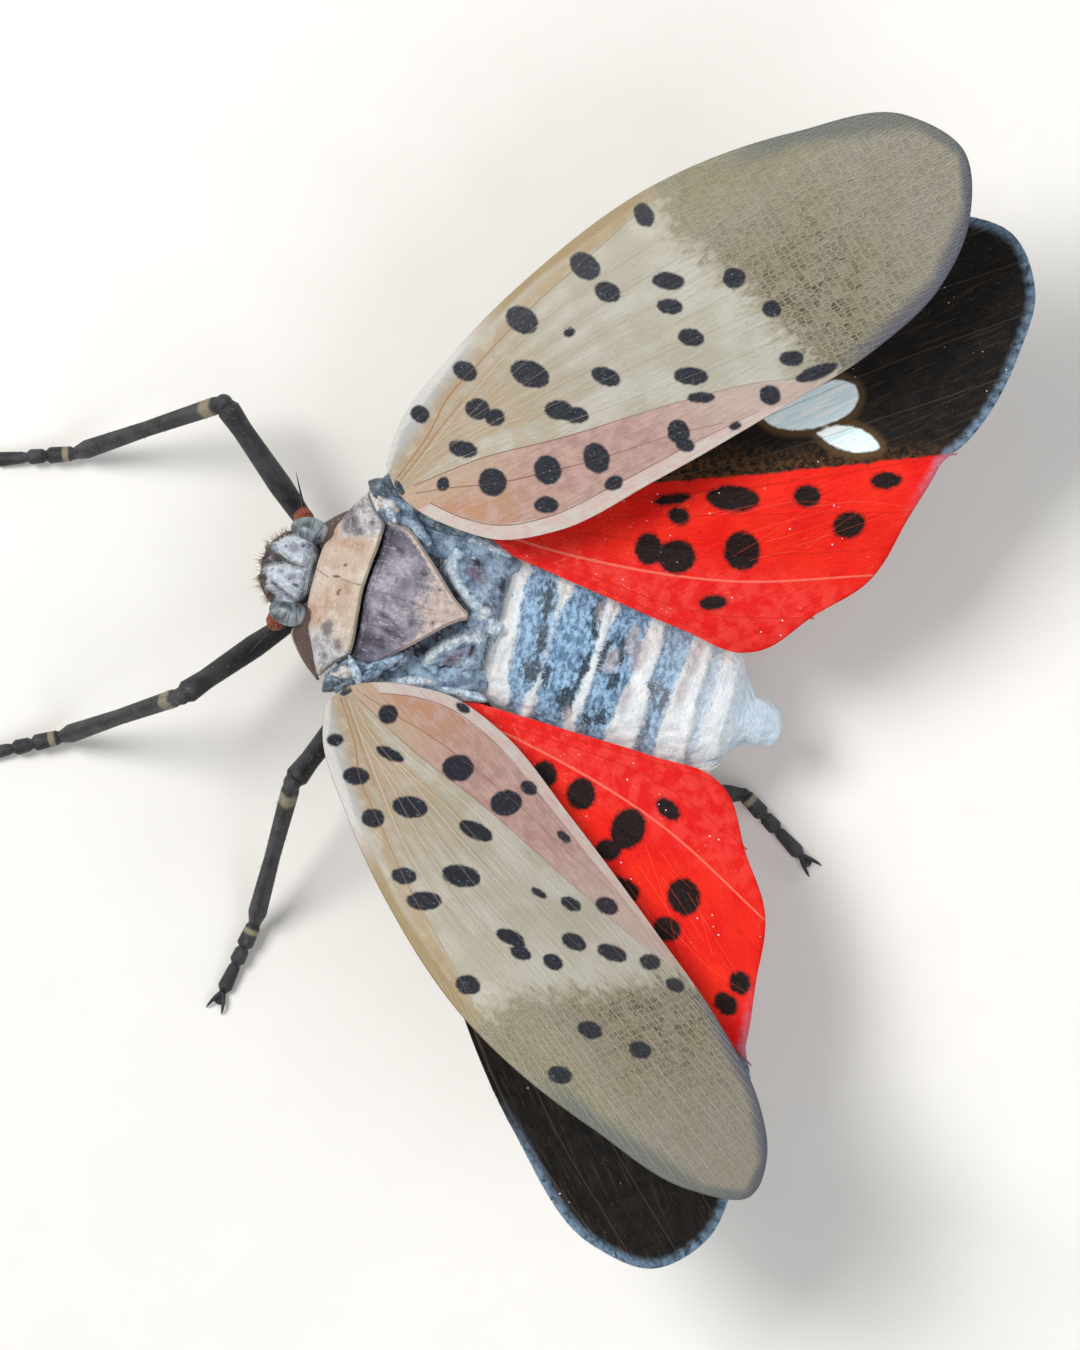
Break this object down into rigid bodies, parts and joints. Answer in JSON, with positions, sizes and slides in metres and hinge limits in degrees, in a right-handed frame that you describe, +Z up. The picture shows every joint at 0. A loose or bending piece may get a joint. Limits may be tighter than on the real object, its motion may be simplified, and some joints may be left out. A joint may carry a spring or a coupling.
{
  "type": "spotted lanternfly",
  "caption": "Life-size still model of a spotted lanternfly standing with spread spotted forewings and red, black and white hindwings over a banded abdomen.",
  "frame": {"origin": "on the floor under the middle of the whole animal's box, wings and feet included", "axes": "+X towards the head, +Y towards the animal's left, +Z up"},
  "size_m": [0.0326, 0.0374, 0.0156],
  "materials": {
    "waxed_head": "grey-blue shell dusted with pale wax",
    "eye": "dark, finely faceted, soft gloss",
    "orange_feeler": "orange-red, satin",
    "tan_plate": "tan shield with pinkish-brown blotches, satin",
    "mauve_plate": "mauve-grey to tan shield, waxy",
    "dark_shell": "blue-black shell with white waxy ridges",
    "banded_wax": "white wax in bands over blue-black rings",
    "forewing": "beige membrane with blue-black spots and a netted olive tip",
    "hindwing": "red with black spots, white patches and a black tip",
    "black_leg": "black with a thin grey bloom"
  },
  "bodies": {
    "root": {"pronotum": "tan_plate", "mesonotum": "mauve_plate", "metanotum": "dark_shell", "thorax": "dark_shell", "head": "waxed_head", "eye_left": "eye", "eye_right": "eye", "antenna_left": "orange_feeler", "antenna_right": "orange_feeler", "rostrum": "black_leg", "tegula_left": "tan_plate", "tegula_right": "tan_plate", "abdomen": "banded_wax", "abdomen_tip": "banded_wax", "forewing_left": "forewing", "forewing_right": "forewing", "hindwing_left": "hindwing", "hindwing_right": "hindwing", "leg_fore_left_coxa": "black_leg", "leg_fore_left_femur": "black_leg", "leg_fore_left_tibia": "black_leg", "leg_fore_left_tarsus": "black_leg", "leg_fore_right_coxa": "black_leg", "leg_fore_right_femur": "black_leg", "leg_fore_right_tibia": "black_leg", "leg_fore_right_tarsus": "black_leg", "leg_mid_left_coxa": "black_leg", "leg_mid_left_femur": "black_leg", "leg_mid_left_tibia": "black_leg", "leg_mid_left_tarsus": "black_leg", "leg_mid_right_coxa": "black_leg", "leg_mid_right_femur": "black_leg", "leg_mid_right_tibia": "black_leg", "leg_mid_right_tarsus": "black_leg", "leg_hind_left_coxa": "black_leg", "leg_hind_left_femur": "black_leg", "leg_hind_left_tibia": "black_leg", "leg_hind_left_tarsus": "black_leg", "leg_hind_right_coxa": "black_leg", "leg_hind_right_femur": "black_leg", "leg_hind_right_tibia": "black_leg", "leg_hind_right_tarsus": "black_leg"}
  },
  "joints": []
}
